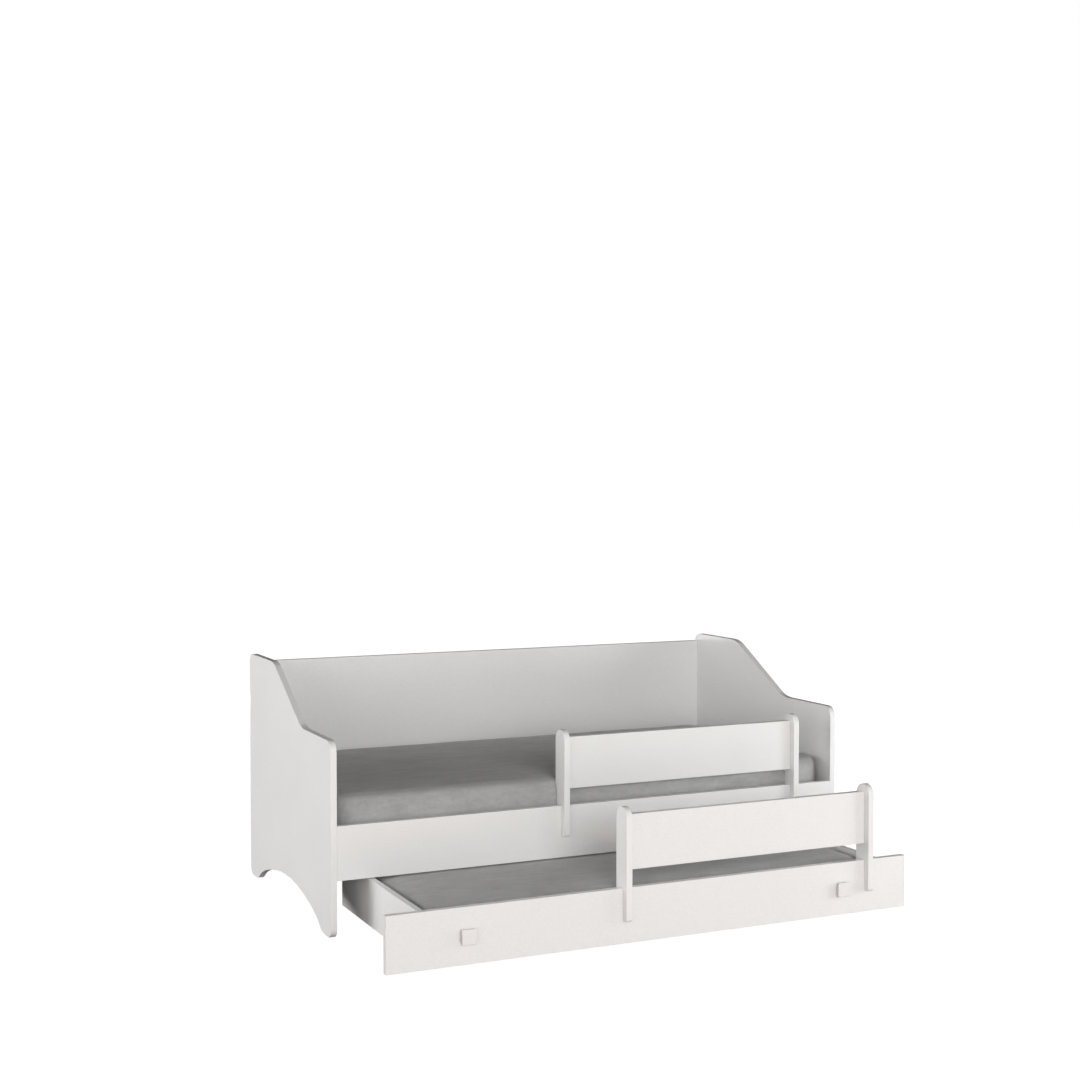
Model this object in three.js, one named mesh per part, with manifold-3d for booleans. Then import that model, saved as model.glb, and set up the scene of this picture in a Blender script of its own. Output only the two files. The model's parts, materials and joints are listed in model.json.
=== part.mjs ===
// Toddler bed with a shaped side panel at each end, a rolling drawer bed under it,
// two mattresses and two lift-off safety guards. Millimetres, +Z up, floor at z = 0.
// X runs along the bed, and Y runs from the open front towards the back panel.
import * as THREE from 'three';
import * as BufferGeometryUtils from 'three/addons/utils/BufferGeometryUtils.js';
import Module from 'manifold-3d';

const wasm = await Module();
wasm.setup();

// ---- driving dimensions ----
const BOARD = 18;                 // thickness of every coated board
const GAP = 0.3;                  // air left between pieces that touch
const BED_LENGTH = 1640;
const BED_DEPTH = 836;
const FRONT_HEIGHT = 540;         // side panel, front part
const REAR_HEIGHT = 700;          // side panel, rear shoulder
const BACK_TOP = 675;             // top edge of the back panel
const BACK_BOTTOM = 158;
const RAIL_BOTTOM = 158;
const RAIL_HEIGHT = 150;
const DRAWER_PULL = 382;          // how far the drawer stands out of the bed
const DRAWER_WIDTH = 1596;
const DRAWER_DEPTH = 625;
const DRAWER_FLOOR_GAP = 5;
const DRAWER_FRONT_HEIGHT = 150;
const GUARD_LENGTH = 800;
const GUARD_LEFT = -128;          // outer face of the left post of both guards

// ---- side panel outline ----
const SHOULDER_START = 272;       // where the straight slope would leave the front top edge
const SHOULDER_END = 560;         // where it would meet the rear top edge
const SHOULDER_RADIUS = 125;
const CORNER_RADIUS = 30;
const FOOT_RADIUS = 28;
// Half of the arch under a side panel, from a foot's flat sole to the crown: [y, z].
const ARCH_HALF = [[52, 0], [72, 0.8], [88, 4.5], [100, 11], [113, 20], [143, 34.5], [182, 48],
  [229, 59.8], [283, 70.3], [348, 79.2], [418, 82.5]];

// ---- guards ----
const GUARD_BOARD_HEIGHT = 150;
const GUARD_BOARD_LIFT = 48;      // open gap between the guarded board and the guard board
const POST_RISE = 21;             // post above the guard board
const POST_DEPTH = 60;
const POST_LEG = 88;              // how far the two legs reach down each side
const POST_SLOT = BOARD + 1;
const POST_TOE = 8;               // rounding at the foot of each leg

// ---- slatted base and mattress of the bed ----
const BATTEN_DEPTH = 45;
const BATTEN_HEIGHT = 25;
const SLAT_COUNT = 12;
const SLAT_WIDTH = 70;
const SLAT_THICKNESS = 18;
const SLAT_INSET = 23;            // slat end to the rail or back panel, clear of the guard legs
const MATTRESS_BOTTOM = 232;
const MATTRESS_THICKNESS = 150;
const MATTRESS_SIDE_GAP = 5;
const MATTRESS_FRONT_GAP = 7.5;
const MATTRESS_REAR_GAP = 6;
const MATTRESS_CORNER = 60;
const MATTRESS_ROUND = 28;
const DENT_MARGIN = 1.5;          // air between a guard leg and the mattress dent around it

// ---- drawer box, castors, knobs ----
const BOX_WIDTH = 1420;
const BOX_BOTTOM = 25;
const BOTTOM_LEVEL = 50;          // underside of the drawer bottom
const BOTTOM_THICKNESS = 8;
const BEARER_WIDTH = 60;
const BEARER_HEIGHT = 18;
const BEARER_X = 240;
const LOWER_MATTRESS_THICKNESS = 92;
const LOWER_MATTRESS_GAP = 4;
const LOWER_MATTRESS_CORNER = 30;
const LOWER_MATTRESS_ROUND = 14;
const KNOB_SPACING = 1154;
const KNOB_SIZE = 40;
const KNOB_DEPTH = 15;
const KNOB_PLATE = 6;             // thickness of the knob's square front plate
const KNOB_NECK_RADIUS = 11;
const KNOB_CORNER = 2.5;
const KNOB_ROUND = 1;
const KNOB_SCREW_RADIUS = 2;
const KNOB_SCREW_HEAD = 4.5;
const KNOB_SCREW_DEPTH = 11;      // how far the screw reaches into the knob
const CASTOR_X = 640;
const CASTOR_INSET = 85;          // castor axle to the drawer's inner front and rear faces
const WHEEL_RADIUS = 20;
const WHEEL_WIDTH = 18;
const AXLE_RADIUS = 3;
const BRACKET_SHEET = 2;
const CHEEK_CLEARANCE = 1.5;      // wheel to the inside of each bracket cheek
const BRACKET_LENGTH = 56;
const BRACKET_DROP = 34;          // bracket plate to the lower tip of its cheeks
const CHEEK_SLANT = 0.38;         // cheek edges off the vertical, in radians
const PLATE_LIP = 9;              // plate reaching out past each cheek

// ---- cams ----
const CAM_RADIUS = 7.5;
const CAM_DEPTH = 12.5;
const CAM_INSET = 34;             // cam centre to the end of its board
const CAM_EDGE = 35;              // cam centre to the long edges of its board

// ---- worked out ----
const INNER = BED_LENGTH / 2 - BOARD;
const RAIL_TOP = RAIL_BOTTOM + RAIL_HEIGHT;
const DRAWER_TOP = DRAWER_FLOOR_GAP + DRAWER_FRONT_HEIGHT;
const DRAWER_FACE = -DRAWER_PULL;
const DRAWER_BACK_FACE = DRAWER_FACE + DRAWER_DEPTH;
const BOX_INNER = BOX_WIDTH / 2 - BOARD;
const LEG_THICKNESS = (POST_DEPTH - POST_SLOT) / 2;
const FRONT_OVERHANG = LEG_THICKNESS + (POST_SLOT - BOARD) / 2;
const REAR_REACH = POST_DEPTH - FRONT_OVERHANG;   // back of a rear leg to the face of its board
const FRONTMOST = DRAWER_FACE - Math.max(FRONT_OVERHANG, KNOB_DEPTH + GAP);
const CENTRE_Y = (FRONTMOST + BED_DEPTH) / 2;

// ---- materials ----
function paint(color, roughness, metalness = 0) {
  return () => new THREE.MeshStandardMaterial({ color, roughness, metalness });
}
const whiteBoard = paint(0xf1efec, 0.42);
const timber = paint(0xd9bf94, 0.65);
const mattressCloth = paint(0x8f9090, 0.95);
const whiteKnob = paint(0xf1efec, 0.4);
const zincSteel = paint(0xb9bcc0, 0.35, 0.9);
const greyNylon = paint(0x3b3d40, 0.55);

// ---- helpers ----
const bed = new THREE.Group();
bed.position.set(0, -CENTRE_Y, 0);

function add(name, geometry, material, x = 0, y = 0, z = 0) {
  const mesh = new THREE.Mesh(geometry, material());
  mesh.name = name;
  mesh.position.set(x, y, z);
  bed.add(mesh);
  return mesh;
}

// A box given by its low and high corners.
function block(x0, x1, y0, y1, z0, z1) {
  const geometry = new THREE.BoxGeometry(x1 - x0, y1 - y0, z1 - z0);
  return geometry.translate((x0 + x1) / 2, (y0 + y1) / 2, (z0 + z1) / 2);
}

// A cylinder along X, Y or Z, centred on the origin.
function rod(radius, length, axis, segments = 32) {
  const geometry = new THREE.CylinderGeometry(radius, radius, length, segments);
  if (axis === 'x') geometry.rotateZ(Math.PI / 2);
  if (axis === 'z') geometry.rotateX(Math.PI / 2);
  return geometry;
}

function toSolid(geometry) {
  const bare = geometry.clone();
  bare.deleteAttribute('normal');
  bare.deleteAttribute('uv');
  const merged = BufferGeometryUtils.mergeVertices(bare, 1e-4);
  const vertProperties = new Float32Array(merged.attributes.position.array);
  const triVerts = new Uint32Array(merged.index.array);
  return new wasm.Manifold(new wasm.Mesh({ numProp: 3, vertProperties, triVerts }));
}

function cut(geometry, tools) {
  let solid = toSolid(geometry);
  for (const tool of tools) solid = solid.subtract(toSolid(tool));
  const mesh = solid.getMesh();
  const result = new THREE.BufferGeometry();
  result.setAttribute('position', new THREE.BufferAttribute(mesh.vertProperties, 3));
  result.setIndex(new THREE.BufferAttribute(mesh.triVerts, 1));
  result.computeVertexNormals();
  return result;
}

// Turns a shape drawn in (y, z) and extruded along its own depth into one that runs along +X.
function alongX(geometry) {
  return geometry.applyMatrix4(new THREE.Matrix4().makeBasis(
    new THREE.Vector3(0, 1, 0), new THREE.Vector3(0, 0, 1), new THREE.Vector3(1, 0, 0)));
}

// ---- side panels ----
// Rounds the corner at (y, z), arriving along one unit direction and leaving along another.
function roundCorner(shape, y, z, arrive, leave, radius) {
  const turn = Math.acos(arrive[0] * leave[0] + arrive[1] * leave[1]);
  const reach = radius * Math.tan(turn / 2);
  const steps = 6;
  const start = new THREE.Vector2(y - arrive[0] * reach, z - arrive[1] * reach);
  const left = arrive[0] * leave[1] - arrive[1] * leave[0] > 0 ? 1 : -1;
  const centre = new THREE.Vector2(start.x - left * arrive[1] * radius, start.y + left * arrive[0] * radius);
  for (let i = 0; i <= steps; i += 1) {
    const point = start.clone().rotateAround(centre, left * turn * i / steps);
    shape.lineTo(point.x, point.y);
  }
}

function sidePanelShape() {
  const slope = new THREE.Vector2(SHOULDER_END - SHOULDER_START, REAR_HEIGHT - FRONT_HEIGHT).normalize();
  const up = [0, 1];
  const back = [1, 0];
  const down = [0, -1];
  const front = [-1, 0];
  const climb = [slope.x, slope.y];
  const shape = new THREE.Shape();
  shape.moveTo(FOOT_RADIUS, 0);
  roundCorner(shape, 0, 0, front, up, FOOT_RADIUS);
  roundCorner(shape, 0, FRONT_HEIGHT, up, back, CORNER_RADIUS);
  roundCorner(shape, SHOULDER_START, FRONT_HEIGHT, back, climb, SHOULDER_RADIUS);
  roundCorner(shape, SHOULDER_END, REAR_HEIGHT, climb, back, SHOULDER_RADIUS);
  roundCorner(shape, BED_DEPTH, REAR_HEIGHT, back, down, CORNER_RADIUS);
  roundCorner(shape, BED_DEPTH, 0, down, front, FOOT_RADIUS);
  const rearHalf = ARCH_HALF.map(([y, z]) => new THREE.Vector2(BED_DEPTH - y, z));
  const frontHalf = ARCH_HALF.map(([y, z]) => new THREE.Vector2(y, z)).reverse().slice(1);
  shape.lineTo(rearHalf[0].x, 0);
  shape.splineThru([...rearHalf.slice(1), ...frontHalf]);
  return shape;
}

function sidePanels() {
  const outline = sidePanelShape().getPoints(3);
  const options = { depth: BOARD, bevelEnabled: false };
  for (const [name, x] of [['left_side_panel', -BED_LENGTH / 2], ['right_side_panel', INNER]]) {
    add(name, alongX(new THREE.ExtrudeGeometry(new THREE.Shape(outline), options)), whiteBoard, x);
  }
}

// ---- back panel, front rail and the cams in their rear faces ----
function camPlaces(bottom, top) {
  const places = [];
  for (const [side, sign] of [['left', -1], ['right', 1]]) {
    places.push({ label: `${side}_lower`, x: sign * (INNER - CAM_INSET), z: bottom + CAM_EDGE });
    places.push({ label: `${side}_upper`, x: sign * (INNER - CAM_INSET), z: top - CAM_EDGE });
  }
  return places;
}

// A long board between the side panels, with cams let into its rear face.
function camBoard(name, prefix, y0, bottom, top) {
  const end = INNER - GAP;
  const rear = y0 + BOARD;
  const places = camPlaces(bottom, top);
  const pocket = () => rod(CAM_RADIUS + GAP, 2 * (CAM_DEPTH + GAP), 'y');
  const pockets = places.map(({ x, z }) => pocket().translate(x, rear, z));
  add(name, cut(block(-end, end, y0, rear, bottom, top), pockets), whiteBoard);
  for (const { label, x, z } of places) {
    add(`${prefix}_cam_${label}`, camGeometry(), zincSteel, x, rear - CAM_DEPTH / 2, z);
  }
}

function camGeometry() {
  return rod(CAM_RADIUS, CAM_DEPTH, 'y', 24);
}

// ---- slatted base ----
function slattedBase() {
  const end = INNER - GAP;
  const top = MATTRESS_BOTTOM - GAP - SLAT_THICKNESS - GAP;
  const rearInner = BED_DEPTH - BOARD;
  const batten = (y0, y1) => block(-end, end, y0, y1, top - BATTEN_HEIGHT, top);
  add('front_slat_batten', batten(BOARD + GAP, BOARD + BATTEN_DEPTH), timber);
  add('rear_slat_batten', batten(rearInner - BATTEN_DEPTH, rearInner - GAP), timber);
  const space = (2 * INNER - SLAT_COUNT * SLAT_WIDTH) / (SLAT_COUNT + 1);
  for (let i = 0; i < SLAT_COUNT; i += 1) {
    const x = -INNER + space + i * (SLAT_WIDTH + space);
    const slat = block(0, SLAT_WIDTH, BOARD + SLAT_INSET, rearInner - SLAT_INSET, 0, SLAT_THICKNESS);
    add(`slat_${String(i + 1).padStart(2, '0')}`, slat, timber, x, 0, top + GAP);
  }
}

// ---- mattresses ----
// A padded slab standing on z = 0. Its edge rounding is drawn inwards from its faces.
function mattressGeometry(x0, x1, y0, y1, corner, thickness, round) {
  const shape = new THREE.Shape();
  shape.moveTo(x0 + corner, y0);
  shape.absarc(x1 - corner, y0 + corner, corner, -Math.PI / 2, 0);
  shape.absarc(x1 - corner, y1 - corner, corner, 0, Math.PI / 2);
  shape.absarc(x0 + corner, y1 - corner, corner, Math.PI / 2, Math.PI);
  shape.absarc(x0 + corner, y0 + corner, corner, Math.PI, Math.PI * 1.5);
  const options = {
    depth: thickness - 2 * round,
    bevelThickness: round,
    bevelSize: round,
    bevelOffset: -round,
    bevelSegments: 5,
    curveSegments: 8,
  };
  return new THREE.ExtrudeGeometry(shape, options).translate(0, 0, round);
}

// The front edge is dented by the rear legs of the two guard posts.
function upperMattress() {
  const x = INNER - MATTRESS_SIDE_GAP;
  const y0 = BOARD + MATTRESS_FRONT_GAP;
  const y1 = BED_DEPTH - BOARD - MATTRESS_REAR_GAP;
  const slab = mattressGeometry(-x, x, y0, y1, MATTRESS_CORNER, MATTRESS_THICKNESS, MATTRESS_ROUND);
  const dents = [GUARD_LEFT, GUARD_LEFT + GUARD_LENGTH - BOARD].map((left) => (
    block(left - DENT_MARGIN, left + BOARD + DENT_MARGIN, 0, REAR_REACH + DENT_MARGIN,
      -MATTRESS_THICKNESS, 2 * MATTRESS_THICKNESS)));
  add('upper_mattress', cut(slab, dents), mattressCloth, 0, 0, MATTRESS_BOTTOM);
}

function lowerMattress() {
  const x = BOX_INNER - LOWER_MATTRESS_GAP;
  const y0 = DRAWER_FACE + REAR_REACH + DENT_MARGIN;
  const y1 = DRAWER_BACK_FACE - BOARD - LOWER_MATTRESS_GAP;
  const slab = mattressGeometry(-x, x, y0, y1, LOWER_MATTRESS_CORNER, LOWER_MATTRESS_THICKNESS,
    LOWER_MATTRESS_ROUND);
  add('lower_mattress', slab, mattressCloth, 0, 0, BOTTOM_LEVEL + BOTTOM_THICKNESS + GAP);
}

// ---- guards ----
// A post seen from its end, in (y, z): z = 0 at the top edge of the board that it straddles,
// y = 0 at that board's front face.
function postShape() {
  const y0 = -FRONT_OVERHANG;
  const y1 = y0 + POST_DEPTH;
  const slot0 = y0 + LEG_THICKNESS;
  const slot1 = y1 - LEG_THICKNESS;
  const radius = POST_DEPTH / 2;
  const top = GUARD_BOARD_LIFT + GUARD_BOARD_HEIGHT + POST_RISE;
  const shape = new THREE.Shape();
  shape.moveTo(slot0, GAP);
  shape.lineTo(slot0, -POST_LEG);
  shape.lineTo(y0 + POST_TOE, -POST_LEG);
  shape.absarc(y0 + POST_TOE, -POST_LEG + POST_TOE, POST_TOE, -Math.PI / 2, Math.PI, true);
  shape.lineTo(y0, top - radius);
  shape.absarc(y0 + radius, top - radius, radius, Math.PI, 0, true);
  shape.lineTo(y1, -POST_LEG + POST_TOE);
  shape.absarc(y1 - POST_TOE, -POST_LEG + POST_TOE, POST_TOE, 0, -Math.PI / 2, true);
  shape.lineTo(slot1, -POST_LEG);
  shape.lineTo(slot1, GAP);
  return shape;
}

function guard(prefix, faceY, edgeZ) {
  const options = { depth: BOARD, bevelEnabled: false, curveSegments: 12 };
  const right = GUARD_LEFT + GUARD_LENGTH - BOARD;
  for (const [side, x] of [['left', GUARD_LEFT], ['right', right]]) {
    const post = alongX(new THREE.ExtrudeGeometry(postShape(), options));
    add(`${prefix}_guard_${side}_post`, post, whiteBoard, x, faceY, edgeZ);
  }
  const bottom = GUARD_BOARD_LIFT;
  const board = block(GUARD_LEFT + BOARD + GAP, right - GAP, 0, BOARD, bottom, bottom + GUARD_BOARD_HEIGHT);
  add(`${prefix}_guard_board`, board, whiteBoard, 0, faceY, edgeZ);
}

// ---- drawer ----
function knobPlaces() {
  const z = (DRAWER_FLOOR_GAP + DRAWER_TOP) / 2;
  return [['left', -KNOB_SPACING / 2, z], ['right', KNOB_SPACING / 2, z]];
}

function drawerFront() {
  const half = DRAWER_WIDTH / 2;
  const face = block(-half, half, DRAWER_FACE, DRAWER_FACE + BOARD, DRAWER_FLOOR_GAP, DRAWER_TOP);
  const holes = knobPlaces().map(([, x, z]) => (
    rod(KNOB_SCREW_RADIUS + GAP, 3 * BOARD, 'y').translate(x, DRAWER_FACE, z)));
  add('drawer_front', cut(face, holes), whiteBoard);
}

function drawerBox() {
  const half = BOX_WIDTH / 2;
  const y0 = DRAWER_FACE + BOARD + GAP;
  const inner = BOX_INNER - GAP;
  const rearY = DRAWER_BACK_FACE - BOARD;
  const bottomTop = BOTTOM_LEVEL + BOTTOM_THICKNESS;
  add('drawer_left_side', block(-half, -BOX_INNER, y0, DRAWER_BACK_FACE, BOX_BOTTOM, DRAWER_TOP), whiteBoard);
  add('drawer_right_side', block(BOX_INNER, half, y0, DRAWER_BACK_FACE, BOX_BOTTOM, DRAWER_TOP), whiteBoard);
  add('drawer_back', block(-inner, inner, rearY, DRAWER_BACK_FACE, BOX_BOTTOM, DRAWER_TOP), whiteBoard);
  add('drawer_bottom', block(-inner, inner, y0, rearY - GAP, BOTTOM_LEVEL, bottomTop), whiteBoard);
  for (const [side, x] of [['left', -BEARER_X], ['right', BEARER_X]]) {
    const bearer = block(-BEARER_WIDTH / 2, BEARER_WIDTH / 2, y0, rearY - GAP, -BEARER_HEIGHT, 0);
    add(`drawer_${side}_bearer`, bearer, timber, x, 0, BOTTOM_LEVEL - GAP);
  }
}

// A knob: a square front plate on a round neck, with a blind hole for its screw.
function knobGeometry() {
  const half = KNOB_SIZE / 2 - KNOB_CORNER;
  const shape = new THREE.Shape();
  shape.moveTo(-half, -KNOB_SIZE / 2);
  shape.absarc(half, -half, KNOB_CORNER, -Math.PI / 2, 0);
  shape.absarc(half, half, KNOB_CORNER, 0, Math.PI / 2);
  shape.absarc(-half, half, KNOB_CORNER, Math.PI / 2, Math.PI);
  shape.absarc(-half, -half, KNOB_CORNER, Math.PI, Math.PI * 1.5);
  const options = {
    depth: KNOB_DEPTH - 2 * KNOB_ROUND,
    bevelThickness: KNOB_ROUND,
    bevelSize: KNOB_ROUND,
    bevelOffset: -KNOB_ROUND,
    bevelSegments: 3,
    curveSegments: 4,
  };
  const body = new THREE.ExtrudeGeometry(shape, options).translate(0, 0, KNOB_ROUND).rotateX(Math.PI / 2);
  const around = block(-KNOB_SIZE, KNOB_SIZE, KNOB_PLATE - KNOB_DEPTH, KNOB_DEPTH, -KNOB_SIZE, KNOB_SIZE);
  const collar = cut(around, [rod(KNOB_NECK_RADIUS, 4 * KNOB_DEPTH, 'y')]);
  const hole = rod(KNOB_SCREW_RADIUS + GAP, 2 * (KNOB_SCREW_DEPTH + GAP), 'y');
  return cut(body, [collar, hole]);
}

// A pan-head screw whose thread runs towards -Y from its head.
function knobScrewGeometry() {
  const reach = BOARD + 2 * GAP + KNOB_SCREW_DEPTH;
  const profile = [[0, -reach], [KNOB_SCREW_RADIUS, -reach], [KNOB_SCREW_RADIUS, 0], [KNOB_SCREW_HEAD, 0],
    [KNOB_SCREW_HEAD, 1.2], [KNOB_SCREW_HEAD - 1.2, 2.4], [0, 2.4]];
  return new THREE.LatheGeometry(profile.map(([r, y]) => new THREE.Vector2(r, y)), 24);
}

function knobs() {
  for (const [side, x, z] of knobPlaces()) {
    add(`${side}_knob`, knobGeometry(), whiteKnob, x, DRAWER_FACE - GAP, z);
    add(`${side}_knob_screw`, knobScrewGeometry(), zincSteel, x, DRAWER_FACE + BOARD + GAP, z);
  }
}

// ---- castors ----
// A pressed bracket: a flat plate and two cheeks, with a hole for the axle in each cheek.
function bracketGeometry() {
  const inside = WHEEL_WIDTH / 2 + CHEEK_CLEARANCE;
  const outside = inside + BRACKET_SHEET;
  const width = outside + PLATE_LIP;
  const full = block(-width, width, -BRACKET_LENGTH / 2, BRACKET_LENGTH / 2, -BRACKET_DROP, 0);
  const under = -BRACKET_SHEET;
  const low = -BRACKET_DROP - 1;
  const long = BRACKET_LENGTH;
  const tools = [
    block(-width - 1, -outside, -long, long, low, under),
    block(outside, width + 1, -long, long, low, under),
    block(-inside, inside, -long, long, low, under),
    rod(AXLE_RADIUS + GAP, 4 * width, 'x').translate(0, 0, WHEEL_RADIUS - BOTTOM_LEVEL + GAP),
  ];
  for (const sign of [-1, 1]) {
    const slant = block(-2 * width, 2 * width, 0, long, -long, 0);
    slant.rotateX(sign > 0 ? CHEEK_SLANT : -CHEEK_SLANT - Math.PI / 2);
    tools.push(slant.translate(0, sign * BRACKET_LENGTH / 2, under));
  }
  return cut(full, tools);
}

function wheelGeometry() {
  const half = WHEEL_WIDTH / 2;
  const bore = AXLE_RADIUS + GAP;
  const hub = 9;
  const tread = WHEEL_RADIUS - 5;
  const slope = 1;
  const groove = half - 3;
  const shoulder = 1.5;
  const side = [[bore, half], [hub, half], [hub + slope, groove], [tread - slope, groove], [tread, half],
    [WHEEL_RADIUS - shoulder, half], [WHEEL_RADIUS, half - shoulder]];
  const profile = [...side.map(([r, x]) => [r, -x]), ...side.reverse(), [bore, -half]];
  return new THREE.LatheGeometry(profile.map(([r, x]) => new THREE.Vector2(r, x)), 48).rotateZ(Math.PI / 2);
}

function axleGeometry() {
  const grip = WHEEL_WIDTH / 2 + CHEEK_CLEARANCE + BRACKET_SHEET + GAP;
  const head = AXLE_RADIUS + 2;
  const end = [[AXLE_RADIUS, grip], [head, grip], [head, grip + 1], [head - 1, grip + 2], [0, grip + 2]];
  const profile = [...end.map(([r, x]) => [r, -x]).reverse(), ...end];
  return new THREE.LatheGeometry(profile.map(([r, x]) => new THREE.Vector2(r, x)), 24).rotateZ(Math.PI / 2);
}

function castors() {
  const frontY = DRAWER_FACE + BOARD + CASTOR_INSET;
  const rearY = DRAWER_BACK_FACE - BOARD - CASTOR_INSET;
  for (const [row, y] of [['front', frontY], ['rear', rearY]]) {
    for (const [side, x] of [['left', -CASTOR_X], ['right', CASTOR_X]]) {
      const place = `${row}_${side}`;
      add(`castor_bracket_${place}`, bracketGeometry(), zincSteel, x, y, BOTTOM_LEVEL - GAP);
      add(`castor_axle_${place}`, axleGeometry(), zincSteel, x, y, WHEEL_RADIUS);
      add(`castor_wheel_${place}`, wheelGeometry(), greyNylon, x, y, WHEEL_RADIUS);
    }
  }
}

// ---- assembly ----
sidePanels();
camBoard('front_rail', 'rail', 0, RAIL_BOTTOM, RAIL_TOP);
camBoard('back_panel', 'back', BED_DEPTH - BOARD, BACK_BOTTOM, BACK_TOP);
slattedBase();
upperMattress();
guard('upper', 0, RAIL_TOP);
drawerFront();
drawerBox();
knobs();
castors();
lowerMattress();
guard('drawer', DRAWER_FACE, DRAWER_TOP);

const root = new THREE.Group();
root.add(bed);

export default root;
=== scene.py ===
import json
import math

import bmesh
import bpy
import numpy as np
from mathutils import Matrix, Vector, noise
from mathutils.bvhtree import BVHTree


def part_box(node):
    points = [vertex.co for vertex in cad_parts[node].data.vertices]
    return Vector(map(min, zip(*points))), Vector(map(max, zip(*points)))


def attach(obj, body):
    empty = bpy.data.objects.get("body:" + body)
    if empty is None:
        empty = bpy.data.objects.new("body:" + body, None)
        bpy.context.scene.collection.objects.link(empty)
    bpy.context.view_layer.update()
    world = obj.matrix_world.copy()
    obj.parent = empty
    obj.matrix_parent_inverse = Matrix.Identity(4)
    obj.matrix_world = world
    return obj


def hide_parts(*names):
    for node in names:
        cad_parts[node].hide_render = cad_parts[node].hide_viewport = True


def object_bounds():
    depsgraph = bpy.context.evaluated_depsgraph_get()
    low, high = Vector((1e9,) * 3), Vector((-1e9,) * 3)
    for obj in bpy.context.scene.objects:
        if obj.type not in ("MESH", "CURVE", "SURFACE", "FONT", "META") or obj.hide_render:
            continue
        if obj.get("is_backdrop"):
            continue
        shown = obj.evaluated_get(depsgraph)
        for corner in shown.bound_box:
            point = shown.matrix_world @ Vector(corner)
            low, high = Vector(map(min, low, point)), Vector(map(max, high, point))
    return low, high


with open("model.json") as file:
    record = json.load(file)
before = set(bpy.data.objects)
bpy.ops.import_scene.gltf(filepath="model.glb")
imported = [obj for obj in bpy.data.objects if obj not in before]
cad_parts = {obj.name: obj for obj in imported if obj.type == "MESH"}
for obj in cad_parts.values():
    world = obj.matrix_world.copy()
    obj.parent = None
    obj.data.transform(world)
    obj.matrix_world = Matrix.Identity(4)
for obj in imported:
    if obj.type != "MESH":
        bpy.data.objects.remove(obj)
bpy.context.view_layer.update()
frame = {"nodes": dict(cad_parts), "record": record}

SCENE = bpy.context.scene
NODES = frame["nodes"]
SLOTS = {row["node"]: row["material_slot"] for row in frame["record"]["subparts"]}


# ---------- camera: the photograph's viewing angle ----------
LENS_MM = 54.38
SENSOR_MM = 36.0
FAR_CLIP = 100.0
CAMERA_YAW_DEG = 24.84            # turned towards +X from straight along +Y
CAMERA_PITCH_DEG = 2.07           # looking down
CAMERA_AT = Vector((-2.1463, -4.4306, 1.2434))


def make_camera():
    data = bpy.data.cameras.new("camera")
    data.lens = LENS_MM
    data.sensor_width = SENSOR_MM
    data.clip_end = FAR_CLIP
    camera = bpy.data.objects.new("camera", data)
    camera.location = CAMERA_AT
    camera.rotation_euler = (math.radians(90 - CAMERA_PITCH_DEG), 0, math.radians(-CAMERA_YAW_DEG))
    SCENE.collection.objects.link(camera)
    SCENE.camera = camera


# ---------- light: a ring of softboxes, a weak sky, a white backdrop ----------
WHITE = (1.0, 1.0, 1.0)
SKY_LIGHT = 0.312                 # strength of the sky in front of the bed
SKY_COLOR = (1.04, 0.985, 0.975)
SKY_REACH = 0.55                  # sine of the angle over which that sky fades in

SOFTBOXES = [
    # name, place, width, height, watts, colour
    ("key_softbox", (-0.6, -5.8, 1.8), 3.0, 2.0, 125, (0.99, 1.01, 1.0)),
    ("left_front_softbox", (-4.0, -3.6, 1.2), 2.6, 2.2, 39, (1.06, 0.995, 0.95)),
    ("left_high_softbox", (-4.5, -1.0, 2.0), 3.0, 2.0, 14, (0.9, 1.0, 1.1)),
    ("left_softbox", (-5.0, 0.3, 1.1), 2.6, 2.2, 76, (1.035, 1.01, 0.955)),
    ("left_rear_softbox", (-5.0, 2.0, 1.1), 2.6, 2.2, 80, (0.98, 1.0, 1.02)),
    ("right_near_softbox", (2.6, -1.6, 0.5), 1.2, 1.0, 23, (0.98, 1.01, 1.0)),
    ("right_rear_softbox", (5.0, 2.2, 0.95), 2.6, 0.5, 100, WHITE),
    ("rear_softbox", (0.1, 5.0, 0.35), 1.8, 0.6, 80, WHITE),
    ("floor_bounce", (0.8, -4.4, -0.6), 4.0, 1.5, 22, (1.15, 0.96, 0.88)),
]
LIGHT_AIM = Vector((0, 0, 0.4))

FLOOR_SIZE = 60.0
FLOOR_GLOW = 0.95                 # the paper's own brightness near the bed
FLOOR_WHITE = 0.35                # how much light it reflects besides
FLOOR_NEAR = 1.2                  # distances over which the paper turns fully white
FLOOR_FAR = 2.6


def softbox(name, place, width, height, watts, color):
    data = bpy.data.lights.new(name, "AREA")
    data.shape = "RECTANGLE"
    data.size = width
    data.size_y = height
    data.energy = watts
    data.color = color
    light = bpy.data.objects.new(name, data)
    light.location = place
    light.rotation_euler = (LIGHT_AIM - Vector(place)).to_track_quat("-Z", "Y").to_euler()
    SCENE.collection.objects.link(light)


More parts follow.
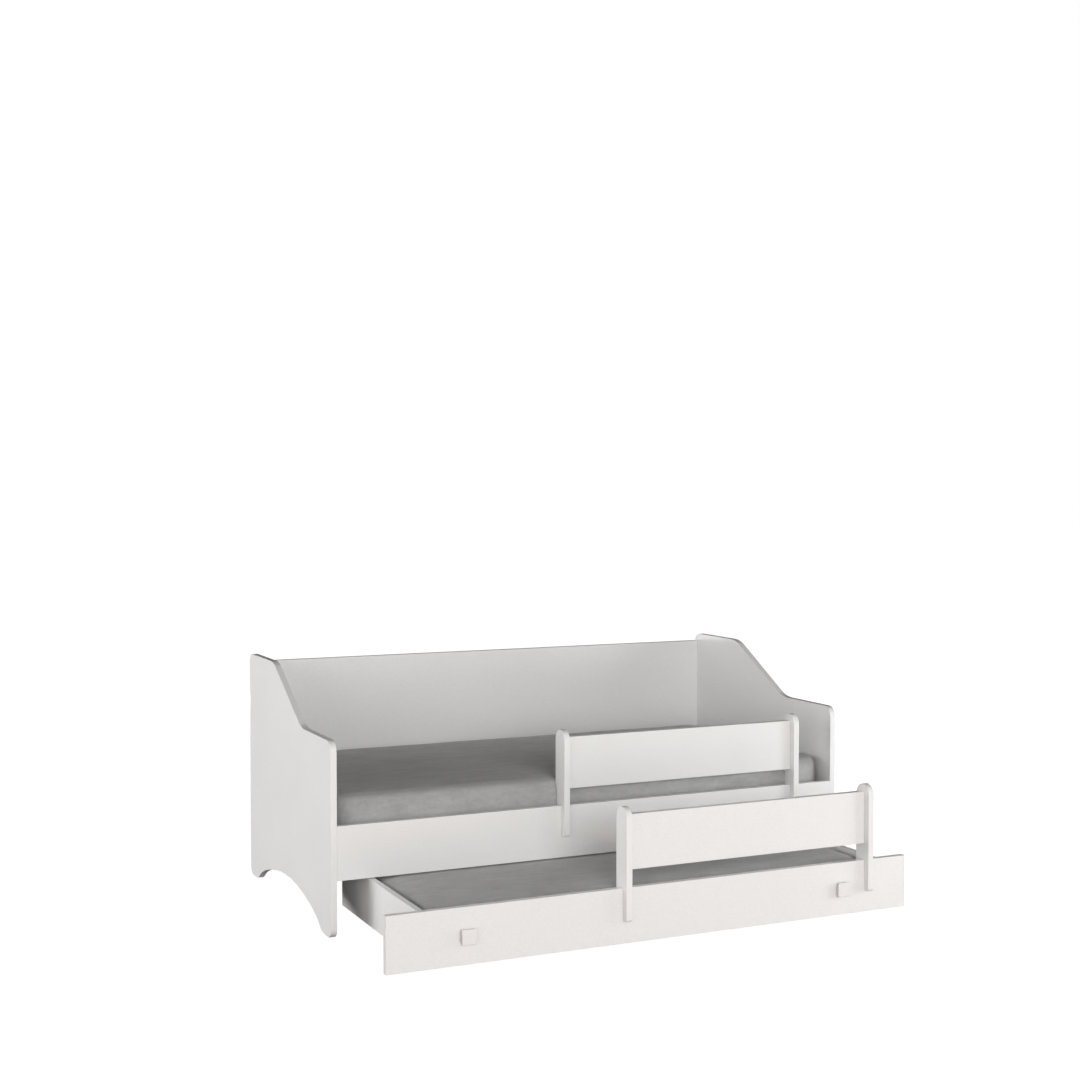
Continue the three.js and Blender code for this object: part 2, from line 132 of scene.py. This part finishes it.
def make_world():
    """White behind the bed; as light, a weak sky that brightens towards the bed's front."""
    world = bpy.data.worlds.new("studio")
    SCENE.world = world
    world.use_nodes = True
    tree = world.node_tree
    tree.nodes.clear()
    out = tree.nodes.new("ShaderNodeOutputWorld")
    mix = tree.nodes.new("ShaderNodeMixShader")
    path = tree.nodes.new("ShaderNodeLightPath")
    backdrop = tree.nodes.new("ShaderNodeBackground")
    backdrop.inputs["Color"].default_value = (*WHITE, 1)
    sky = tree.nodes.new("ShaderNodeBackground")
    sky.inputs["Color"].default_value = (*SKY_COLOR, 1)
    coords = tree.nodes.new("ShaderNodeTexCoord")
    direction = tree.nodes.new("ShaderNodeSeparateXYZ")
    fade = tree.nodes.new("ShaderNodeMapRange")
    fade.interpolation_type = "SMOOTHSTEP"
    fade.inputs["From Max"].default_value = -SKY_REACH
    fade.inputs["To Max"].default_value = SKY_LIGHT
    tree.links.new(coords.outputs["Generated"], direction.inputs[0])
    tree.links.new(direction.outputs["Y"], fade.inputs["Value"])
    tree.links.new(fade.outputs[0], sky.inputs["Strength"])
    tree.links.new(path.outputs["Is Camera Ray"], mix.inputs["Fac"])
    tree.links.new(sky.outputs[0], mix.inputs[1])
    tree.links.new(backdrop.outputs[0], mix.inputs[2])
    tree.links.new(mix.outputs[0], out.inputs[0])


def make_floor():
    """Pale paper: it glows enough to stay white, and darkens only in the bed's contact shadow."""
    bpy.ops.mesh.primitive_plane_add(size=FLOOR_SIZE, location=(0, 0, 0))
    floor = bpy.context.object
    floor.name = "floor"
    material = bpy.data.materials.new("floor_paper")
    material.use_nodes = True
    tree = material.node_tree
    tree.nodes.clear()
    out = tree.nodes.new("ShaderNodeOutputMaterial")
    both = tree.nodes.new("ShaderNodeAddShader")
    glow = tree.nodes.new("ShaderNodeEmission")
    matte = tree.nodes.new("ShaderNodeBsdfDiffuse")
    coords = tree.nodes.new("ShaderNodeTexCoord")
    away = tree.nodes.new("ShaderNodeVectorMath")
    away.operation = "LENGTH"
    fade = tree.nodes.new("ShaderNodeMapRange")
    fade.inputs["From Min"].default_value = FLOOR_NEAR
    fade.inputs["From Max"].default_value = FLOOR_FAR
    fade.inputs["To Min"].default_value = FLOOR_GLOW
    matte.inputs["Color"].default_value = (FLOOR_WHITE, FLOOR_WHITE, FLOOR_WHITE, 1)
    tree.links.new(coords.outputs["Object"], away.inputs[0])
    tree.links.new(away.outputs["Value"], fade.inputs["Value"])
    tree.links.new(fade.outputs[0], glow.inputs["Strength"])
    tree.links.new(glow.outputs[0], both.inputs[0])
    tree.links.new(matte.outputs[0], both.inputs[1])
    tree.links.new(both.outputs[0], out.inputs[0])
    floor.data.materials.append(material)
    floor.visible_diffuse = False
    floor.visible_glossy = False
    floor.visible_shadow = False
    floor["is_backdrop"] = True


# ---------- material helpers ----------
class Tree:
    """A short way to build a node material."""

    def __init__(self, name):
        self.material = bpy.data.materials.new(name)
        self.material.use_nodes = True
        self.nodes = self.material.node_tree.nodes
        self.links = self.material.node_tree.links
        self.shader = self.nodes["Principled BSDF"]
        self.coords = self.nodes.new("ShaderNodeTexCoord").outputs["Object"]

    def node(self, kind, **values):
        made = self.nodes.new(kind)
        for key, value in values.items():
            setattr(made, key, value)
        return made

    def link(self, source, target):
        self.links.new(source, target)

    def scaled(self, scale):
        mapping = self.node("ShaderNodeMapping")
        mapping.inputs["Scale"].default_value = scale
        self.link(self.coords, mapping.inputs["Vector"])
        return mapping.outputs["Vector"]

    def noise(self, scale, detail=2.0, roughness=0.5, stretch=(1, 1, 1)):
        made = self.node("ShaderNodeTexNoise")
        made.inputs["Scale"].default_value = scale
        made.inputs["Detail"].default_value = detail
        made.inputs["Roughness"].default_value = roughness
        self.link(self.scaled(stretch), made.inputs["Vector"])
        return made.outputs["Fac"]

    def math(self, operation, a, b=None, c=None):
        made = self.node("ShaderNodeMath", operation=operation)
        for socket, value in zip(made.inputs, (a, b, c)):
            if value is None:
                continue
            if isinstance(value, (int, float)):
                socket.default_value = value
            else:
                self.link(value, socket)
        return made.outputs[0]

    def spread(self, value, low, high, to_low=0.0, to_high=1.0):
        made = self.node("ShaderNodeMapRange")
        self.link(value, made.inputs["Value"])
        made.inputs["From Min"].default_value = low
        made.inputs["From Max"].default_value = high
        made.inputs["To Min"].default_value = to_low
        made.inputs["To Max"].default_value = to_high
        return made.outputs["Result"]

    def mix(self, factor, a, b):
        made = self.node("ShaderNodeMix", data_type="RGBA")
        self.link(factor, made.inputs["Factor"])
        for socket, value in ((made.inputs["A"], a), (made.inputs["B"], b)):
            if isinstance(value, tuple):
                socket.default_value = (*value, 1)
            else:
                self.link(value, socket)
        return made.outputs["Result"]

    def color(self, value):
        self.link(value, self.shader.inputs["Base Color"])

    def roughness(self, value):
        self.link(value, self.shader.inputs["Roughness"])

    def bump(self, *layers):
        """Each layer is (height, depth in metres)."""
        normal = None
        for height, depth in layers:
            made = self.node("ShaderNodeBump")
            made.inputs["Strength"].default_value = 1.0
            made.inputs["Distance"].default_value = depth
            self.link(height, made.inputs["Height"])
            if normal is not None:
                self.link(normal, made.inputs["Normal"])
            normal = made.outputs["Normal"]
        self.link(normal, self.shader.inputs["Normal"])


# ---------- materials ----------
def laminate(name, face, band, axis):
    """White melamine board: a faintly pearled face across the axis, and a smoother edge band on
    its narrow sides."""
    tree = Tree(name)
    geometry = tree.node("ShaderNodeNewGeometry")
    split = tree.node("ShaderNodeSeparateXYZ")
    tree.link(geometry.outputs["True Normal"], split.inputs[0])
    along = tree.math("ABSOLUTE", split.outputs[axis])
    on_face = tree.spread(along, 0.6, 0.8)
    cloud = tree.spread(tree.noise(2.3, 3.0, 0.55), 0.3, 0.7)
    fleck = tree.spread(tree.noise(240, 2.0, 0.7), 0.35, 0.65)
    shade = tree.math("MULTIPLY_ADD", cloud, 0.3, tree.math("MULTIPLY", fleck, 0.7))
    paler = tuple(c * 1.035 for c in face)
    deeper = tuple(c * 0.965 for c in face)
    faces = tree.mix(shade, deeper, paler)
    tree.color(tree.mix(on_face, band, faces))
    pearl = tree.noise(650, 2.0, 0.5)
    rough = tree.spread(tree.noise(9, 3.0, 0.6), 0.3, 0.7, 0.36, 0.46)
    banded = tree.math("SUBTRACT", rough, 0.08)
    tree.roughness(tree.math("MULTIPLY_ADD", on_face, 0.1, banded))
    ripple = tree.noise(7, 2.0, 0.5)
    tree.bump((tree.math("MULTIPLY", pearl, on_face), 0.00004), (ripple, 0.00012))
    tree.shader.inputs["Specular IOR Level"].default_value = 0.5
    return tree.material


def edge_rim():
    """The scraped, rounded corner where an edge band meets a board's face."""
    tree = Tree("edge_rim")
    streak = tree.noise(260, 2.0, 0.6, (1, 1, 0.2))
    shade = tree.spread(streak, 0.3, 0.7)
    tree.color(tree.mix(shade, (0.80, 0.797, 0.79), (0.87, 0.867, 0.86)))
    tree.roughness(tree.spread(streak, 0.3, 0.7, 0.24, 0.36))
    tree.bump((streak, 0.00001))
    return tree.material


def felt(name, low, high):
    """Grey heathered mattress cloth: fine fibre and soft mottling, drawn out along X on top."""
    tree = Tree(name)
    fibre = tree.noise(1300, 3.0, 0.65, (0.6, 1, 1))
    mottle = tree.noise(110, 3.0, 0.6, (0.8, 1, 1))
    streak = tree.noise(48, 4.0, 0.6, (0.3, 1, 1))
    cloud = tree.noise(9, 3.0, 0.6)
    fine = tree.math("MULTIPLY_ADD", mottle, 0.15, tree.math("MULTIPLY", fibre, 0.35))
    broad = tree.math("MULTIPLY_ADD", streak, 0.3, tree.math("MULTIPLY", cloud, 0.2))
    shade = tree.math("ADD", fine, broad)
    tree.color(tree.mix(tree.spread(shade, 0.38, 0.62), low, high))
    tree.roughness(tree.spread(fibre, 0.3, 0.7, 0.86, 0.98))
    tree.shader.inputs["Sheen Weight"].default_value = 0.2
    tree.shader.inputs["Sheen Roughness"].default_value = 0.6
    tree.shader.inputs["Specular IOR Level"].default_value = 0.2
    grid = tree.math("MULTIPLY", wave(tree, 320, "X"), wave(tree, 320, "Y"))
    tree.bump((fibre, 0.00025), (grid, 0.00012), (mottle, 0.0002), (cloud, 0.0008))
    return tree.material


def wave(tree, scale, direction):
    made = tree.node("ShaderNodeTexWave", bands_direction=direction)
    made.inputs["Scale"].default_value = scale
    made.inputs["Distortion"].default_value = 1.5
    made.inputs["Detail"].default_value = 1.0
    tree.link(tree.coords, made.inputs["Vector"])
    return made.outputs["Fac"]


def pine(name, stretch):
    """Planed pine: growth lines run along the long direction that stretch leaves short."""
    tree = Tree(name)
    grain = tree.noise(60, 5.0, 0.6, stretch)
    line = tree.noise(260, 3.0, 0.7, stretch)
    shade = tree.math("MULTIPLY_ADD", grain, 0.7, tree.math("MULTIPLY", line, 0.3))
    tree.color(tree.mix(tree.spread(shade, 0.35, 0.65), (0.50, 0.33, 0.17), (0.72, 0.54, 0.33)))
    tree.roughness(tree.spread(line, 0.3, 0.7, 0.5, 0.68))
    tree.bump((line, 0.0002))
    return tree.material


def zinc():
    tree = Tree("zinc_steel")
    spangle = tree.noise(180, 2.0, 0.5)
    tree.color(tree.mix(tree.spread(spangle, 0.35, 0.65), (0.46, 0.47, 0.49), (0.62, 0.63, 0.65)))
    tree.roughness(tree.spread(spangle, 0.3, 0.7, 0.28, 0.44))
    tree.shader.inputs["Metallic"].default_value = 1.0
    tree.bump((spangle, 0.00005))
    return tree.material


def nylon():
    tree = Tree("wheel_nylon")
    grit = tree.noise(500, 3.0, 0.6)
    tree.color(tree.mix(tree.spread(grit, 0.3, 0.7), (0.035, 0.037, 0.04), (0.065, 0.068, 0.072)))
    tree.roughness(tree.spread(grit, 0.3, 0.7, 0.42, 0.6))
    tree.bump((grit, 0.0001))
    return tree.material


def knob_plastic():
    tree = Tree("knob_plastic")
    grit = tree.noise(800, 2.0, 0.5)
    tree.color(tree.mix(tree.spread(grit, 0.3, 0.7), (0.80, 0.79, 0.77), (0.83, 0.82, 0.80)))
    tree.roughness(tree.spread(grit, 0.3, 0.7, 0.3, 0.42))
    tree.bump((grit, 0.00003))
    return tree.material


# ---------- CAD nodes ----------
BOARD_FACES = {                   # boards that don't face front and rear: part of name, axis
    "side_panel": "X",
    "post": "X",
    "drawer_left_side": "X",
    "drawer_right_side": "X",
    "drawer_bottom": "Z",
}
RIM_WIDTH = 0.0011                # rounding of a board's edges
TIMBER_ROUNDING = 0.0015
FITTING_ROUNDING = 0.0003
WELD_REACH = 0.00001
FLAT_DEG = 0.5                    # faces closer in angle than this are one flat face
SHARP_DEG = 38                    # edges sharper than this are rounded


def board_face_axis(node):
    for part, axis in BOARD_FACES.items():
        if part in node:
            return axis
    return "Y"


def soften(obj, width, rim_slot=-1):
    """Joins the triangles back into flat faces and rounds the sharp edges. The mesh itself stays."""
    weld = obj.modifiers.new("weld", "WELD")
    weld.merge_threshold = WELD_REACH
    flat = obj.modifiers.new("flat_faces", "DECIMATE")
    flat.decimate_type = "DISSOLVE"
    flat.angle_limit = math.radians(FLAT_DEG)
    bevel = obj.modifiers.new("rounded_edges", "BEVEL")
    bevel.width = width
    bevel.segments = 3
    bevel.limit_method = "ANGLE"
    bevel.angle_limit = math.radians(SHARP_DEG)
    bevel.material = rim_slot
    even = obj.modifiers.new("even_normals", "WEIGHTED_NORMAL")
    even.weight = 100
    for polygon in obj.data.polygons:
        polygon.use_smooth = True


def dress(obj, *materials):
    obj.data.materials.clear()
    for material in materials:
        obj.data.materials.append(material)


def dress_cad():
    face = (0.83, 0.828, 0.823)
    band = (0.845, 0.842, 0.834)
    boards = {axis: laminate(f"white_board_{axis}", face, band, axis) for axis in "XYZ"}
    rim = edge_rim()
    along_x = pine("pine_along_x", (0.04, 1, 1))
    along_y = pine("pine_along_y", (1, 0.04, 1))
    steel = zinc()
    wheel = nylon()
    knob = knob_plastic()
    for node, obj in NODES.items():
        slot = SLOTS[node]
        if slot == "white_board":
            dress(obj, boards[board_face_axis(node)], rim)
            soften(obj, RIM_WIDTH, 1)
        elif slot == "timber":
            dress(obj, along_x if "batten" in node else along_y)
            soften(obj, TIMBER_ROUNDING)
        elif slot == "zinc_steel":
            dress(obj, steel)
            soften(obj, FITTING_ROUNDING)
        elif slot == "wheel_nylon":
            dress(obj, wheel)
            soften(obj, FITTING_ROUNDING)
        elif slot == "knob_plastic":
            dress(obj, knob)
            soften(obj, FITTING_ROUNDING)


# ---------- mattresses ----------
VOXEL = 0.009
PRESSURE = 4.0
SIM_FRAMES = 20
CLOTH_QUALITY = 4
STRETCH_STIFFNESS = 12
SHEAR_STIFFNESS = 5
BEND_STIFFNESS = 0.6
INSET = 0.0025                    # how much smaller the cover starts than its slab
CAP = 0.0055                      # the furthest the air pressure may push a point
EDGE_SOFTNESS = 0.09              # distance over which the top rises from its edge to its crown
SIDE_HOLD = 6                     # the higher, the nearer to a side the waist stays
CORNER_HOLD = 4                   # the higher, the nearer to a corner the waist reaches
SWELLS_PER_M = 9                  # wide soft unevenness, and its height
SWELL_HEIGHT = 0.0009
CREASES_PER_M = 31                # narrow soft unevenness, and its height
CREASE_HEIGHT = 0.0004
KEEP_UNDER = 0.0004               # the cover's finished surface stays this far inside its slab
DENT_ROOM = 0.0012                # air between a cover and a guard's post


def bake(obj):
    """Replaces an object's mesh by what its modifiers make of it."""
    graph = bpy.context.evaluated_depsgraph_get()
    mesh = bpy.data.meshes.new_from_object(obj.evaluated_get(graph))
    obj.modifiers.clear()
    obj.data = mesh


def vertex_array(mesh, attribute):
    flat = np.empty(len(mesh.vertices) * 3, dtype=np.float32)
    mesh.vertices.foreach_get(attribute, flat)
    return flat.reshape(-1, 3).astype(float)


def move_to(mesh, points):
    mesh.vertices.foreach_set("co", points.astype(np.float32).ravel())
    mesh.update()


def pillow(mesh, crown, waist):
    """Shrinks the slab a little, lets its top fall off towards the edges, and draws its sides
    in between the corners."""
    points = vertex_array(mesh, "co") - INSET * vertex_array(mesh, "normal")
    low, high = points.min(axis=0), points.max(axis=0)
    middle = (low + high) / 2
    half = (high - low) / 2
    side = (points - middle) / half
    to_edge = np.min(half[:2] - np.abs(points[:, :2] - middle[:2]), axis=1)
    height = (points[:, 2] - low[2]) / (high[2] - low[2])
    points[:, 2] -= crown * height * np.exp(-np.maximum(to_edge, 0) / EDGE_SOFTNESS)
    for across, along in ((0, 1), (1, 0)):
        near = np.clip(np.abs(side[:, across]), 0, 1) ** SIDE_HOLD
        between = 1 - np.clip(np.abs(side[:, along]), 0, 1) ** CORNER_HOLD
        points[:, across] -= np.sign(side[:, across]) * waist * near * between
    move_to(mesh, points)


def inflate(obj):
    """Puffs the cover up with air pressure, and lets no point move further than CAP."""
    start = vertex_array(obj.data, "co")
    cloth = obj.modifiers.new("cloth", "CLOTH")
    cloth.settings.use_pressure = True
    cloth.settings.uniform_pressure_force = PRESSURE
    cloth.settings.quality = CLOTH_QUALITY
    cloth.settings.tension_stiffness = STRETCH_STIFFNESS
    cloth.settings.compression_stiffness = STRETCH_STIFFNESS
    cloth.settings.shear_stiffness = SHEAR_STIFFNESS
    cloth.settings.bending_stiffness = BEND_STIFFNESS
    cloth.settings.effector_weights.gravity = 0
    cloth.point_cache.frame_start = 1
    cloth.point_cache.frame_end = SIM_FRAMES
    for number in range(1, SIM_FRAMES + 1):
        SCENE.frame_set(number)
    bake(obj)
    SCENE.frame_set(1)
    move = vertex_array(obj.data, "co") - start
    reach = np.linalg.norm(move, axis=1, keepdims=True)
    move_to(obj.data, start + move * np.minimum(1.0, CAP / np.maximum(reach, 1e-9)))


def rumple(mesh, seed):
    """The small soft unevenness of a covered foam block."""
    points = vertex_array(mesh, "co")
    shift = Vector((seed, seed / 3, 0))
    swell = [noise.noise(Vector(p) * SWELLS_PER_M + shift) for p in points]
    crease = [noise.noise(Vector(p) * CREASES_PER_M + shift) for p in points]
    height = SWELL_HEIGHT * np.array(swell) + CREASE_HEIGHT * np.array(crease)
    move_to(mesh, points + height[:, None] * vertex_array(mesh, "normal"))


def fill_dents(mesh):
    """Replaces the slab by its convex hull, so that its dents are cut anew at the end."""
    slab = bmesh.new()
    slab.from_mesh(mesh)
    hull = bmesh.ops.convex_hull(slab, input=slab.verts)
    bmesh.ops.delete(slab, geom=hull["geom_interior"] + hull["geom_unused"], context="VERTS")
    bmesh.ops.delete(slab, geom=hull["geom_holes"], context="FACES_ONLY")
    slab.to_mesh(mesh)
    slab.free()


def keep_within(mesh, slab):
    """Brings every point that has left the slab back to just under its surface."""
    shell = bmesh.new()
    shell.from_mesh(slab)
    surface = BVHTree.FromBMesh(shell)
    shell.free()
    points = vertex_array(mesh, "co")
    for index, point in enumerate(points):
        spot, normal, _, _ = surface.find_nearest(Vector(point))
        if (Vector(point) - spot).dot(normal) > -KEEP_UNDER:
            points[index] = spot - normal * KEEP_UNDER
    move_to(mesh, points)


def cut_dent(piece, node):
    """Cuts room for a guard's post out of a cover."""
    low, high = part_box(node)
    bottom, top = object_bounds()
    cutter_mesh = bpy.data.meshes.new("dent")
    block = bmesh.new()
    for x in (low[0] - DENT_ROOM, high[0] + DENT_ROOM):
        for y in (low[1] - DENT_ROOM, high[1] + DENT_ROOM):
            for z in (bottom[2], top[2]):
                block.verts.new((x, y, z))
    bmesh.ops.convex_hull(block, input=block.verts)
    block.to_mesh(cutter_mesh)
    block.free()
    cutter = bpy.data.objects.new("dent", cutter_mesh)
    SCENE.collection.objects.link(cutter)
    cut = piece.modifiers.new("dent", "BOOLEAN")
    cut.operation = "DIFFERENCE"
    cut.solver = "EXACT"
    cut.object = cutter
    bake(piece)
    bpy.data.objects.remove(cutter)


def stretch(mesh, rise, forward):
    """Raises the slab's top and brings its front out; its base and its back stay where they are."""
    points = vertex_array(mesh, "co")
    low, high = points.min(axis=0), points.max(axis=0)
    share = (points - low) / (high - low)
    points[:, 1] -= forward * (1 - share[:, 1])
    points[:, 2] += rise * share[:, 2]
    move_to(mesh, points)


def mattress(name, node, body, material, rise, forward, crown, waist, shoulders, seed, posts=()):
    """A padded cover in place of a mattress's CAD solid, with a dent for each post beside it."""
    piece = bpy.data.objects.new(name, NODES[node].data.copy())
    SCENE.collection.objects.link(piece)
    fill_dents(piece.data)
    stretch(piece.data, rise, forward)
    slab = piece.data
    remesh = piece.modifiers.new("remesh", "REMESH")
    remesh.mode = "VOXEL"
    remesh.voxel_size = VOXEL
    soft = piece.modifiers.new("soft_shoulders", "SMOOTH")
    soft.factor = 0.5
    soft.iterations = shoulders
    bake(piece)
    pillow(piece.data, crown, waist)
    inflate(piece)
    rumple(piece.data, seed)
    finer = piece.modifiers.new("finer", "SUBSURF")
    finer.levels = 1
    finer.render_levels = 1
    bake(piece)
    keep_within(piece.data, slab)
    for polygon in piece.data.polygons:
        polygon.use_smooth = True
    for post in posts:
        cut_dent(piece, post)
    dress(piece, material)
    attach(piece, body)
    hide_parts(node)


def make_mattresses():
    cloth = felt("grey_felt", (0.312, 0.313, 0.312), (0.464, 0.467, 0.465))
    posts = ("upper_guard_left_post", "upper_guard_right_post")
    mattress("upper_mattress_cover", "upper_mattress", "bed_frame", cloth, rise=0.002, forward=0.004,
             crown=0.001, waist=0.0005, shoulders=6, seed=3.0, posts=posts)
    mattress("lower_mattress_cover", "lower_mattress", "drawer", cloth, rise=0.004, forward=0.0,
             crown=0.005, waist=0.002, shoulders=2, seed=11.0)


# ---------- build ----------
SCENE.view_settings.view_transform = "Standard"
make_camera()
make_world()
make_floor()
for box in SOFTBOXES:
    softbox(*box)
dress_cad()
make_mattresses()
